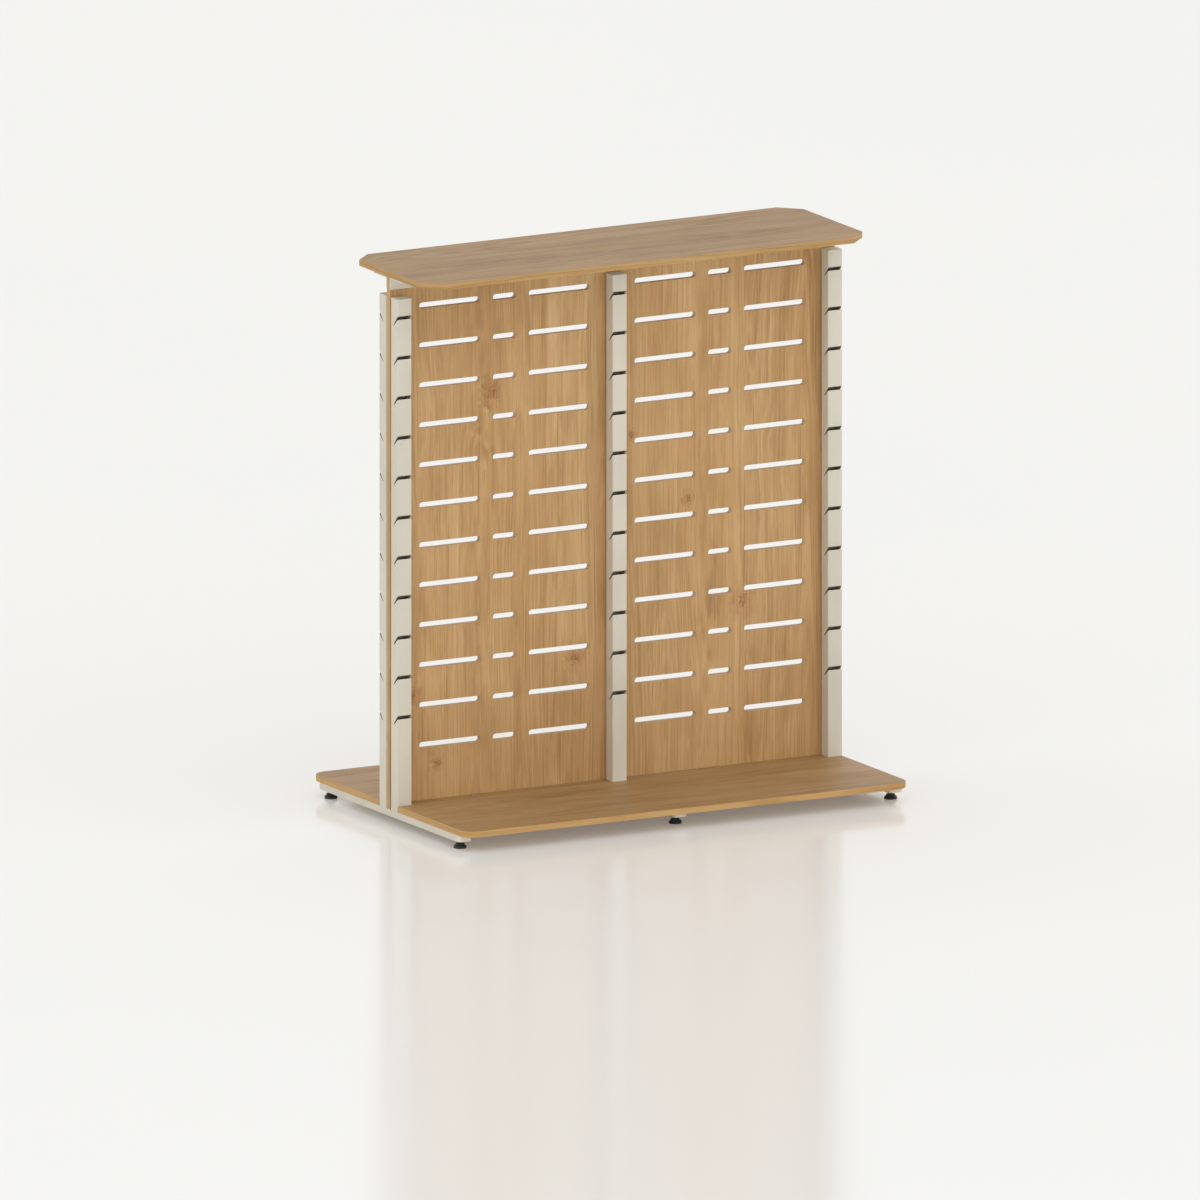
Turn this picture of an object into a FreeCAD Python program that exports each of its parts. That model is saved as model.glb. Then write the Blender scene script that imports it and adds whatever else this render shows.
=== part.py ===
import FreeCAD, Part
import math
import os
import Sketcher

# Double-sided display stand: two slotted panels between three pairs of notched posts, a board on
# top, a shelf along each side of the foot, and six levelling feet.
# Millimetres. +X runs along the stand, +Y towards its back and +Z up. The origin lies on the floor,
# below the middle of the stand. A front piece turned half way round +Z is the back piece.

# Driving dimensions: name, value, what it measures
SIZES = [
    ("bay_pitch", 600, "centre distance of neighbouring posts"),
    ("tube_width", 40, "width of posts and foot bars along the stand"),
    ("post_depth", 35, "depth of a post, from its inner to its outer face"),
    ("post_wall", 2, "wall of a post"),
    ("post_corner", 3, "outside corner radius of a post"),
    ("post_sole", 3, "thickness of the plate that closes a post's foot"),
    ("post_drop", 50, "how far a post's tube ends below the panels' upper edge"),
    ("post_gap", 4.5, "space between a post's inner face and the panel"),
    ("cap_plate", 2, "thickness of a post cap over the tube"),
    ("cap_ease", 0.8, "radius round a post cap's upper edge"),
    ("cap_plug", 8, "depth of a post cap's plug in the tube"),
    ("plug_play", 0.1, "clearance round a plug in its tube"),
    ("strip_width", 20, "width of the spacer strip behind a post"),
    ("panel_thick", 15, "thickness of a panel"),
    ("panel_height", 1331, "height of a panel above the foot bar"),
    ("board_play", 0.5, "clearance between boards, and round the posts"),
    ("slot_pitch", 100, "height from one row of slots to the next"),
    ("slot_start", 152, "height of the lowest row above the panel's lower edge"),
    ("slot_margin", 60, "least height left above the uppermost row"),
    ("slot_height", 15, "height of a slot, and diameter of its round ends"),
    ("long_slot", 170, "length of the two outer slots of a row"),
    ("short_slot", 65, "length of the middle slot of a row"),
    ("slot_web", 35, "wood left between two slots of a row"),
    ("notch_pitch", 100, "height from one notch to the next"),
    ("notch_start", 237, "height of the lowest notch's mouth above the post's foot"),
    ("notch_margin", 30, "least height left above the uppermost notch's mouth"),
    ("notch_mouth", 10, "height of a notch at the post's outer face"),
    ("notch_end", 4, "height of a notch at its inner end"),
    ("notch_reach", 20, "depth of a notch behind the post's outer face"),
    ("notch_drop", 24, "how much lower a notch's upper side ends than it begins"),
    ("bar_setback", 40, "how far a foot bar's end lies behind a base shelf's outer edge"),
    ("bar_height", 17, "height of a foot bar"),
    ("bar_wall", 2, "wall of a foot bar"),
    ("bar_corner", 1, "outside corner radius of a foot bar"),
    ("bar_clearance", 20, "height of a foot bar above the floor"),
    ("tip_round", 12, "corner radius in plan, and length, of a foot bar's end cap"),
    ("tip_plug", 9, "depth of a foot bar end cap's plug in the bar"),
    ("shelf_reach", 400, "distance of a base shelf's outer edge from the panels' middle plane"),
    ("shelf_thick", 15, "thickness of a base shelf"),
    ("shelf_corner", 40, "corner radius of a base shelf"),
    ("top_depth", 400, "depth of the top board"),
    ("top_thick", 15, "thickness of the top board"),
    ("top_chamfer", 50, "length cut off each side at a corner of the top board"),
    ("top_round", 8, "radius that eases the cut corners of the top board"),
    ("band_thick", 1, "thickness of the edge bands"),
    ("band_ease", 0.8, "radius along the edges of the edge bands"),
    ("rail_height", 30, "height of a top rail's upright flange"),
    ("rail_reach", 65, "depth of a top rail's level flange"),
    ("rail_sheet", 3, "sheet thickness of a top rail"),
    ("rail_bend", 1.5, "inside bend radius of a top rail"),
    ("rail_bolt_pitch", 200, "distance of a bay's outer rail bolts from its middle one"),
    ("rail_bolt_drop", 17, "depth of the rail bolts below the panel's upper edge"),
    ("rail_bolt_diameter", 6, "shank of a rail bolt"),
    ("rail_bolt_head", 11, "diameter of a rail bolt's head"),
    ("rail_bolt_head_height", 3.3, "height of a rail bolt's head"),
    ("rail_bolt_tail", 1.5, "length of a rail bolt beyond its nut"),
    ("rail_nut_across", 10, "width across the flats of a rail nut"),
    ("rail_nut_height", 5, "height of a rail nut"),
    ("bolt_play", 0.2, "clearance round a bolt in rail and panel"),
    ("thread_play", 0.05, "clearance round a thread in its nut, or a pivot in its socket"),
    ("top_screw_pitch", 300, "distance of one top board screw from the next"),
    ("top_screw_offset", 45, "distance of the top board screws from the panel's face"),
    ("top_screw_diameter", 4, "shank of a top board screw"),
    ("top_screw_head", 8, "diameter of a top board screw's head"),
    ("top_screw_head_height", 2.5, "height of a top board screw's head"),
    ("top_screw_bite", 10, "depth of a top board screw in the board"),
    ("shelf_screw_inner", 120, "distance of the inner shelf screws from the middle plane"),
    ("shelf_screw_setback", 120, "distance of the outer shelf screws from a base shelf's outer edge"),
    ("shelf_screw_diameter", 4.5, "shank of a shelf screw"),
    ("shelf_screw_head", 9, "diameter of a shelf screw's head"),
    ("shelf_screw_head_height", 3, "height of a shelf screw's head"),
    ("shelf_screw_bite", 10, "depth of a shelf screw in the shelf"),
    ("screw_play", 0.1, "clearance round a screw, and before its point"),
    ("foot_setback", 70, "how far a levelling foot stands behind a base shelf's outer edge"),
    ("foot_nut_across", 13, "width across the flats of the nut that holds a foot"),
    ("foot_nut_height", 6.5, "height of that nut"),
    ("stud_diameter", 8, "thread of a foot's stud"),
    ("stud_length", 17.5, "length of the thread above the collar"),
    ("stud_point", 1, "chamfer at the stud's upper end"),
    ("stud_hole_play", 0.5, "clearance round the stud in the foot bar's wall"),
    ("collar_across", 19, "width across the flats of the stud's collar"),
    ("collar_height", 5.5, "height of the stud's collar"),
    ("pivot_diameter", 10, "diameter of the pivot below the collar"),
    ("pivot_length", 4.5, "length of the pivot in the pad's socket"),
    ("pivot_end_play", 0.3, "clearance below the pivot's end"),
    ("pad_diameter", 32, "diameter of a foot pad at the floor"),
    ("pad_crown", 27, "diameter of a foot pad's upper face"),
    ("pad_rim", 4.5, "height of the pad's upright rim"),
    ("pad_height", 7.5, "height of a foot pad"),
    ("pad_ease", 1, "radius along the edges of a foot pad"),
]

# Places that follow from the driving dimensions: name, formula, what it measures
PLACES = [
    ("half_length", "=Sizes.bay_pitch + half_tube", "from the middle to an end of the stand"),
    ("half_tube", "=Sizes.tube_width / 2", "from a post's middle to its side"),
    ("panel_face", "=Sizes.panel_thick / 2", "from the middle plane to a panel's face"),
    ("post_back", "=panel_face + Sizes.post_gap", "from the middle plane to a post's inner face"),
    ("post_face", "=post_back + Sizes.post_depth", "from the middle plane to a post's outer face"),
    ("bar_top", "=Sizes.bar_clearance + Sizes.bar_height", "height of the foot bars' upper face"),
    ("post_height", "=Sizes.panel_height - Sizes.post_drop", "length of a post's tube above the foot bar"),
    ("panel_top", "=bar_top + Sizes.panel_height", "height of the panels' upper edge"),
    ("bar_reach", "=Sizes.shelf_reach - Sizes.bar_setback", "from the middle plane to a foot bar's tip"),
    ("tip_joint", "=bar_reach - Sizes.tip_round", "from the middle plane to a foot bar's open end"),
    ("foot_line", "=Sizes.shelf_reach - Sizes.foot_setback", "from the middle plane to the levelling feet"),
    (
        "outer_screw_line",
        "=Sizes.shelf_reach - Sizes.shelf_screw_setback",
        "from the middle plane to the outer shelf screws",
    ),
    (
        "long_slot_place",
        "=Sizes.short_slot / 2 + Sizes.slot_web + Sizes.long_slot / 2",
        "from a bay's middle to a long slot's",
    ),
    (
        "slot_rows",
        "=floor((Sizes.panel_height - Sizes.slot_start - Sizes.slot_margin) / Sizes.slot_pitch) + 1",
        "rows of slots in a panel",
    ),
    (
        "notch_rows",
        "=floor((post_height - Sizes.notch_start - Sizes.notch_margin) / Sizes.notch_pitch) + 1",
        "notches in a post",
    ),
    (
        "notch_slope",
        "=Sizes.notch_drop / Sizes.notch_reach",
        "fall of a notch's upper side for each unit of depth",
    ),
    (
        "notch_floor_slope",
        "=(Sizes.notch_drop - Sizes.notch_mouth + Sizes.notch_end) / Sizes.notch_reach",
        "fall of a notch's lower side for each unit of depth",
    ),
    ("rail_face", "=panel_face + Sizes.rail_sheet", "from the middle plane to a rail's upright outer face"),
    ("top_screw_line", "=panel_face + Sizes.top_screw_offset", "from the middle plane to the top screws"),
    ("collar_top", "=Sizes.pad_height + Sizes.collar_height", "height of a foot's collar above the floor"),
]

COLUMNS = {"left": -1, "middle": 0, "right": 1}
SIDES = {"front": 1, "back": -1}
BAYS = {"left": -1, "right": 1}
HALF_TURN = 180
UP = FreeCAD.Vector(0, 0, 1)
TOUCH = 0.001  # points closer than this are one

# Sketch geometry numbers of the axes, and the names of a point's place on a line, arc or circle
UPRIGHT_AXIS, LEVEL_AXIS = range(-2, 0)
START, END, CENTRE = range(1, 4)

doc = FreeCAD.newDocument("display_stand")
pieces = []


def write_sheet(name, rows):
    """Sheet with one named value to a row."""
    sheet = doc.addObject("Spreadsheet::Sheet", name)
    for row, (alias, content, note) in enumerate(rows, 1):
        sheet.set(f"A{row}", alias)
        sheet.set(f"B{row}", str(content))
        sheet.setAlias(f"B{row}", alias)
        sheet.set(f"C{row}", note)
    doc.recompute()
    return sheet


sizes = write_sheet("Sizes", SIZES)
places = write_sheet("Places", PLACES)


def value(formula):
    """Number that a formula of the sheets' names gives."""
    return float(sizes.evalExpression(formula))


def new_piece(label):
    """Empty body that becomes one piece of the stand."""
    body = doc.addObject("PartDesign::Body", label)
    pieces.append(body)
    return body


def place(piece, x="0", y="0", z="0", side=1):
    """Puts a piece at three formulas, turned half way round for the back or the left."""
    turn = 0 if side > 0 else HALF_TURN
    piece.Placement = FreeCAD.Placement(FreeCAD.Vector(), FreeCAD.Rotation(UP, turn))
    for axis, formula in zip("xyz", (x, y, z)):
        piece.setExpression(f"Placement.Base.{axis}", formula)


def origin_feature(body, role):
    """Origin plane or axis of a body."""
    return next(feature for feature in body.Origin.OriginFeatures if feature.Role == role)


def sketch_on(body, role, lift="0"):
    """Sketch on one of the body's origin planes, raised along the plane's normal."""
    sketch = body.newObject("Sketcher::SketchObject", "Sketch")
    sketch.AttachmentSupport = (origin_feature(body, role), [""])
    sketch.MapMode = "FlatFace"
    sketch.setExpression("AttachmentOffset.Base.z", lift)
    return sketch


def pin(sketch, shape, point, x, y):
    """Holds a point of a sketch line, arc or circle at two formulas."""
    for kind, axis, formula in (("DistanceX", UPRIGHT_AXIS, x), ("DistanceY", LEVEL_AXIS, y)):
        if formula == "0":
            sketch.addConstraint(Sketcher.Constraint("PointOnObject", shape, point, axis))
        else:
            distance = Sketcher.Constraint(kind, LEVEL_AXIS, START, shape, point, value(formula))
            number = sketch.addConstraint(distance)
            sketch.setExpression(f"Constraints[{number}]", formula)


def hold(sketch, kind, shape, formula):
    """Gives a circle or arc the radius or diameter of a formula."""
    number = sketch.addConstraint(Sketcher.Constraint(kind, shape, value(formula)))
    sketch.setExpression(f"Constraints[{number}]", formula)


def arc_between(start, end, radius, hollow):
    """Arc from start to end, to the left on a rounded corner and to the right on a hollow one."""
    chord = end - start
    middle = (start + end) / 2
    rise = math.sqrt(radius**2 - (chord.Length / 2) ** 2)
    leftward = FreeCAD.Vector(-chord.y, chord.x, 0).normalize()
    centre = middle + leftward * (-rise if hollow else rise)
    first, last = (end, start) if hollow else (start, end)
    angles = [math.atan2(point.y - centre.y, point.x - centre.x) for point in (first, last)]
    return Part.ArcOfCircle(Part.Circle(centre, UP, radius), *angles)


def outline(sketch, corners):
    """Closed outline through corners, anticlockwise.

    A corner is (x, y), (x, y, radius) where an arc leads on to the next corner, or
    (x, y, radius, "hollow") where that arc bends inwards.
    """
    points = [FreeCAD.Vector(value(corner[0]), value(corner[1]), 0) for corner in corners]
    runs = []
    for number, corner in enumerate(corners):
        start = points[number]
        end = points[(number + 1) % len(points)]
        hollow = len(corner) == 4
        if len(corner) == 2:
            shape = sketch.addGeometry(Part.LineSegment(start, end))
        else:
            shape = sketch.addGeometry(arc_between(start, end, value(corner[2]), hollow))
        runs.append((shape, END, START) if hollow else (shape, START, END))
    for number, corner in enumerate(corners):
        shape, first, last = runs[number]
        following, following_first, _ = runs[(number + 1) % len(runs)]
        sketch.addConstraint(Sketcher.Constraint("Coincident", shape, last, following, following_first))
        pin(sketch, shape, first, corner[0], corner[1])
        if len(corner) > 2:
            hold(sketch, "Radius", shape, corner[2])


def rectangle(left, right, bottom, top):
    """Corners of a rectangle whose sides lie at four formulas."""
    return [(left, bottom), (right, bottom), (right, top), (left, top)]


def rounded_rectangle(left, right, bottom, top, radius):
    """Corners of a rectangle with four rounded corners."""
    return [
        (f"{left} + {radius}", bottom),
        (f"{right} - {radius}", bottom, radius),
        (right, f"{bottom} + {radius}"),
        (right, f"{top} - {radius}", radius),
        (f"{right} - {radius}", top),
        (f"{left} + {radius}", top, radius),
        (left, f"{top} - {radius}"),
        (left, f"{bottom} + {radius}", radius),
    ]


def hexagon(x, y, across):
    """Corners of a hexagon round a point, from its width across the flats."""
    half = f"{across} / 2"
    side = f"{across} / sqrt(3)"
    return [
        (f"{x} + {half}", f"{y} - {side} / 2"),
        (f"{x} + {half}", f"{y} + {side} / 2"),
        (x, f"{y} + {side}"),
        (f"{x} - {half}", f"{y} + {side} / 2"),
        (f"{x} - {half}", f"{y} - {side} / 2"),
        (x, f"{y} - {side}"),
    ]


def circle(sketch, x, y, diameter):
    """Circle round a point given by two formulas."""
    centre = FreeCAD.Vector(value(x), value(y), 0)
    shape = sketch.addGeometry(Part.Circle(centre, UP, value(diameter) / 2))
    pin(sketch, shape, CENTRE, x, y)
    hold(sketch, "Diameter", shape, diameter)


def level_slot(sketch, x, y, length, height):
    """Slot with round ends, lying level."""
    radius = value(height) / 2
    reach = value(length) / 2 - radius
    middle = FreeCAD.Vector(value(x), value(y), 0)
    ends = []
    for way, start in ((1, -math.pi / 2), (-1, math.pi / 2)):
        ring = Part.Circle(middle + FreeCAD.Vector(way * reach, 0, 0), UP, radius)
        end = sketch.addGeometry(Part.ArcOfCircle(ring, start, start + math.pi))
        pin(sketch, end, CENTRE, f"{x} + {way} * ({length} - {height}) / 2", y)
        hold(sketch, "Radius", end, f"{height} / 2")
        ends.append((end, way))
    for (end, way), (other, _) in zip(ends, reversed(ends)):
        above = FreeCAD.Vector(0, way * radius, 0)
        along = FreeCAD.Vector(way * reach, 0, 0)
        side = sketch.addGeometry(Part.LineSegment(middle + above + along, middle + above - along))
        sketch.addConstraint(Sketcher.Constraint("Tangent", end, END, side, START))
        sketch.addConstraint(Sketcher.Constraint("Tangent", side, END, other, START))


def pad(body, sketch, length, both_ways=False, backwards=False):
    """Solid pushed out of a sketch."""
    feature = body.newObject("PartDesign::Pad", "Pad")
    feature.Profile = sketch
    feature.SideType = "Symmetric" if both_ways else "One side"
    feature.Reversed = backwards
    feature.setExpression("Length", length)
    body.Tip = feature
    return feature


def cut_through(body, sketch, both_ways=True):
    """Opening cut right through a body, on both sides of its sketch or below it."""
    feature = body.newObject("PartDesign::Pocket", "Cut")
    feature.Profile = sketch
    feature.Type = "ThroughAll"
    feature.SideType = "Symmetric" if both_ways else "One side"
    body.Tip = feature
    return feature


def bore_up(body, sketch, depth):
    """Blind holes bored upwards from a sketch."""
    feature = body.newObject("PartDesign::Pocket", "Bore")
    feature.Profile = sketch
    feature.Reversed = True
    feature.setExpression("Length", depth)
    body.Tip = feature
    return feature


def repeat(body, feature, axis, pitch, count):
    """Row of copies of a feature along one of the body's axes."""
    pattern = body.newObject("PartDesign::LinearPattern", "Row")
    pattern.Originals = [feature]
    pattern.Direction = (origin_feature(body, axis), [""])
    pattern.Mode = "Spacing"
    pattern.setExpression("Offset", pitch)
    pattern.setExpression("Occurrences", count)
    body.Tip = pattern
    return pattern


def stands_upright(edge):
    return edge.BoundBox.XLength < TOUCH and edge.BoundBox.YLength < TOUCH


def lies_level(edge):
    return edge.BoundBox.ZLength < TOUCH


def dress(body, kind, base, size_name, formula, wanted):
    """Chamfer or fillet along the wanted edges of a feature."""
    doc.recompute()
    names = [f"Edge{number}" for number, edge in enumerate(base.Shape.Edges, 1) if wanted(edge)]
    feature = body.newObject(f"PartDesign::{kind}", kind)
    feature.Base = (base, names)
    feature.setExpression(size_name, formula)
    body.Tip = feature
    return feature


def column_x(column):
    """Place of a pair of posts along the stand."""
    return f"{COLUMNS[column]} * Sizes.bay_pitch"


def rail_bolt_places():
    """Places of the rail bolts along the stand: three to a bay."""
    for bay in BAYS.values():
        for step in (-1, 0, 1):
            yield f"{bay} * Sizes.bay_pitch / 2 + {step} * Sizes.rail_bolt_pitch"


def top_screw_places():
    """Places of the top board screws: a row of four under each rail."""
    for side in SIDES.values():
        for step in (-1.5, -0.5, 0.5, 1.5):
            yield f"{step} * Sizes.top_screw_pitch", f"{side} * Places.top_screw_line"


def shelf_screw_places(sides):
    """Places of the shelf screws: two to each foot bar on each side."""
    for column in COLUMNS:
        for side in sides:
            for reach in ("Sizes.shelf_screw_inner", "Places.outer_screw_line"):
                yield column_x(column), f"{-side} * {reach}"


def foot_places():
    """Name, side and place of each levelling foot."""
    for column in COLUMNS:
        for side_name, side in SIDES.items():
            yield f"{column}_{side_name}", column_x(column), f"{-side} * Places.foot_line"


# Posts: tubes closed at the foot, with a row of slanting notches open to the front and both sides
def post_outline():
    return rounded_rectangle(
        "-Places.half_tube",
        "Places.half_tube",
        "-Places.post_face",
        "-Places.post_back",
        "Sizes.post_corner",
    )


def post_hollow(gap):
    """Rectangle inside a post's walls, smaller by a gap on every side."""
    inset = f"(Sizes.post_wall + {gap})"
    return rectangle(
        f"-Places.half_tube + {inset}",
        f"Places.half_tube - {inset}",
        f"-Places.post_face + {inset}",
        f"-Places.post_back - {inset}",
    )


def make_post(label, x, side):
    body = new_piece(label)
    section = sketch_on(body, "XY_Plane")
    outline(section, post_outline())
    outline(section, post_hollow("0"))
    pad(body, section, "Places.post_height")
    sole = sketch_on(body, "XY_Plane")
    outline(sole, post_outline())
    pad(body, sole, "Sizes.post_sole")
    # The slit starts one wall outside the face, so that it opens the face cleanly
    outside = "-Places.post_face - Sizes.post_wall"
    inside = "-Places.post_face + Sizes.notch_reach"
    top = "Sizes.notch_start + Sizes.notch_mouth / 2"
    bottom = "Sizes.notch_start - Sizes.notch_mouth / 2"
    slit = sketch_on(body, "YZ_Plane")
    outline(
        slit,
        [
            (outside, f"{bottom} + Sizes.post_wall * Places.notch_floor_slope"),
            (inside, f"{top} - Sizes.notch_drop - Sizes.notch_end"),
            (inside, f"{top} - Sizes.notch_drop"),
            (outside, f"{top} + Sizes.post_wall * Places.notch_slope"),
        ],
    )
    notch = cut_through(body, slit)
    repeat(body, notch, "Z_Axis", "Sizes.notch_pitch", "Places.notch_rows")
    place(body, x, "0", "Places.bar_top", side)


def make_post_cap(label, x, side):
    body = new_piece(label)
    plate = sketch_on(body, "XY_Plane")
    outline(plate, post_outline())
    lid = pad(body, plate, "Sizes.cap_plate")
    middle = value("Sizes.cap_plate") / 2
    dress(body, "Fillet", lid, "Radius", "Sizes.cap_ease", lambda edge: edge.BoundBox.ZMin > middle)
    plug = sketch_on(body, "XY_Plane")
    outline(plug, post_hollow("Sizes.plug_play"))
    pad(body, plug, "Sizes.cap_plug", backwards=True)
    place(body, x, "0", "Places.bar_top + Places.post_height", side)


def make_spacer_strip(label, x, side):
    body = new_piece(label)
    section = sketch_on(body, "XY_Plane")
    half = "Sizes.strip_width / 2"
    outline(section, rectangle(f"-{half}", half, "-Places.post_back", "-Places.panel_face"))
    pad(body, section, "Places.post_height")
    place(body, x, "0", "Places.bar_top", side)


# Panels: one to a bay, meeting behind the middle post, with rows of one short and two long slots
def make_panel(label, bay):
    body = new_piece(label)
    sheet = sketch_on(body, "XZ_Plane")
    inner_end = "-Sizes.bay_pitch / 2 + Sizes.board_play / 2"
    outer_end = "Sizes.bay_pitch / 2 + Places.half_tube - Sizes.band_thick"
    outline(sheet, rectangle(inner_end, outer_end, "0", "Sizes.panel_height"))
    pad(body, sheet, "Sizes.panel_thick", both_ways=True)
    bolt_holes = sketch_on(body, "XZ_Plane")
    for step in (-1, 0, 1):
        height = "Sizes.panel_height - Sizes.rail_bolt_drop"
        diameter = "Sizes.rail_bolt_diameter + 2 * Sizes.bolt_play"
        circle(bolt_holes, f"{step} * Sizes.rail_bolt_pitch" if step else "0", height, diameter)
    cut_through(body, bolt_holes)
    row = sketch_on(body, "XZ_Plane")
    for x, length in (
        ("-Places.long_slot_place", "Sizes.long_slot"),
        ("0", "Sizes.short_slot"),
        ("Places.long_slot_place", "Sizes.long_slot"),
    ):
        level_slot(row, x, "Sizes.slot_start", length, "Sizes.slot_height")
    slots = cut_through(body, row)
    repeat(body, slots, "Z_Axis", "Sizes.slot_pitch", "Places.slot_rows")
    place(body, f"{bay} * Sizes.bay_pitch / 2", "0", "Places.bar_top", bay)


def make_panel_band(label, bay):
    body = new_piece(label)
    section = sketch_on(body, "XY_Plane")
    inner = "Places.half_length - Sizes.band_thick"
    outer = "Places.half_length"
    face = "Places.panel_face"
    ease = "Sizes.band_ease"
    outline(
        section,
        [
            (inner, f"-{face}"),
            (f"{outer} - {ease}", f"-{face}", ease),
            (outer, f"-{face} + {ease}"),
            (outer, f"{face} - {ease}", ease),
            (f"{outer} - {ease}", face),
            (inner, face),
        ],
    )
    pad(body, section, "Sizes.panel_height")
    place(body, z="Places.bar_top", side=bay)


# Foot bars: flat tubes lying across the stand, closed by rounded end caps
def make_foot_bar(label, x):
    body = new_piece(label)
    section = sketch_on(body, "XZ_Plane")
    half = "Places.half_tube"
    low = "Sizes.bar_clearance"
    high = "Places.bar_top"
    wall = "Sizes.bar_wall"
    outline(section, rounded_rectangle(f"-{half}", half, low, high, "Sizes.bar_corner"))
    hollow = rectangle(f"-{half} + {wall}", f"{half} - {wall}", f"{low} + {wall}", f"{high} - {wall}")
    outline(section, hollow)
    pad(body, section, "2 * Places.tip_joint", both_ways=True)
    stud_holes = sketch_on(body, "XY_Plane", "Sizes.bar_clearance + Sizes.bar_wall")
    screw_holes = sketch_on(body, "XY_Plane")
    stud_hole = "Sizes.stud_diameter + 2 * Sizes.stud_hole_play"
    screw_hole = "Sizes.shelf_screw_diameter + 2 * Sizes.screw_play"
    for side in SIDES.values():
        circle(stud_holes, "0", f"{side} * Places.foot_line", stud_hole)
        for reach in ("Sizes.shelf_screw_inner", "Places.outer_screw_line"):
            circle(screw_holes, "0", f"{side} * {reach}", screw_hole)
    cut_through(body, stud_holes, both_ways=False)
    cut_through(body, screw_holes)
    place(body, x)


def make_bar_end_cap(label, x, side):
    body = new_piece(label)
    plan = sketch_on(body, "XY_Plane", "Sizes.bar_clearance")
    end = "-Places.bar_reach"
    joint = "-Places.tip_joint"
    outline(
        plan,
        [
            ("-Places.half_tube", joint, "Sizes.tip_round"),
            ("-Places.half_tube + Sizes.tip_round", end),
            ("Places.half_tube - Sizes.tip_round", end, "Sizes.tip_round"),
            ("Places.half_tube", joint),
        ],
    )
    tip = pad(body, plan, "Sizes.bar_height")
    before_joint = value(joint) - TOUCH
    dress(
        body,
        "Fillet",
        tip,
        "Radius",
        "Sizes.bar_corner",
        lambda edge: lies_level(edge) and edge.BoundBox.YMin < before_joint,
    )
    plug = sketch_on(body, "XZ_Plane", "Places.tip_joint")
    inset = "(Sizes.bar_wall + Sizes.plug_play)"
    outline(
        plug,
        rectangle(
            f"-Places.half_tube + {inset}",
            f"Places.half_tube - {inset}",
            f"Sizes.bar_clearance + {inset}",
            f"Places.bar_top - {inset}",
        ),
    )
    pad(body, plug, "Sizes.tip_plug", backwards=True)
    place(body, x, side=side)


# Base shelves: boards on the foot bars, cut out round the posts
def make_shelf_board(body, inset, side, eased=False):
    """Shelf board, smaller by an inset along its outer edge and its ends."""
    end = f"(Places.half_length - {inset})"
    outer = f"(Sizes.shelf_reach - {inset})"
    radius = f"(Sizes.shelf_corner - {inset})"
    inner = "(Places.panel_face + Sizes.board_play)"
    plan = sketch_on(body, "XY_Plane")
    outline(
        plan,
        [
            (f"-{end}", f"-{inner}"),
            (f"-{end}", f"-{outer} + {radius}", radius),
            (f"-{end} + {radius}", f"-{outer}"),
            (f"{end} - {radius}", f"-{outer}", radius),
            (end, f"-{outer} + {radius}"),
            (end, f"-{inner}"),
        ],
    )
    board = pad(body, plan, "Sizes.shelf_thick")
    if eased:
        before_inner = -value(inner) - TOUCH
        dress(
            body,
            "Fillet",
            board,
            "Radius",
            "Sizes.band_ease",
            lambda edge: lies_level(edge) and edge.BoundBox.YMin < before_inner,
        )
    reach = "(Places.half_tube + Sizes.board_play)"
    cut_out = sketch_on(body, "XY_Plane")
    outline(
        cut_out,
        rectangle(
            f"-Sizes.bay_pitch - {reach}",
            f"-Sizes.bay_pitch + {reach}",
            "-Places.post_face - Sizes.board_play",
            "-Places.panel_face",
        ),
    )
    round_one_post = cut_through(body, cut_out)
    repeat(body, round_one_post, "X_Axis", "Sizes.bay_pitch", str(len(COLUMNS)))
    screw_holes = sketch_on(body, "XY_Plane")
    for x, y in shelf_screw_places([1]):
        circle(screw_holes, x, y, "Sizes.shelf_screw_diameter + 2 * Sizes.screw_play")
    bore_up(body, screw_holes, "Sizes.shelf_screw_bite + Sizes.screw_play")
    place(body, z="Places.bar_top", side=side)


def make_top_board(body, inset, eased=False):
    """Top board with cut corners, smaller by an inset all round."""
    end = f"(Places.half_length - {inset})"
    edge = f"(Sizes.top_depth / 2 - {inset})"
    plan = sketch_on(body, "XY_Plane")
    outline(plan, rectangle(f"-{end}", end, f"-{edge}", edge))
    board = pad(body, plan, "Sizes.top_thick")
    # A cut corner set in by the inset is shorter by the inset times 2 - sqrt(2)
    cut = f"Sizes.top_chamfer - {inset} * (2 - sqrt(2))"
    cut_corners = dress(body, "Chamfer", board, "Size", cut, stands_upright)
    rounded = dress(body, "Fillet", cut_corners, "Radius", f"Sizes.top_round - {inset}", stands_upright)
    if eased:
        dress(body, "Fillet", rounded, "Radius", "Sizes.band_ease", lies_level)
    screw_holes = sketch_on(body, "XY_Plane")
    for x, y in top_screw_places():
        circle(screw_holes, x, y, "Sizes.top_screw_diameter + 2 * Sizes.screw_play")
    bore_up(body, screw_holes, "Sizes.top_screw_bite + Sizes.screw_play")
    place(body, z="Places.panel_top")


def make_band(label, whole, board):
    """Edge band: what the whole board has and its core lacks."""
    band = doc.addObject("Part::Cut", label)
    band.Base = whole
    band.Tool = board
    pieces.append(band)


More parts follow.
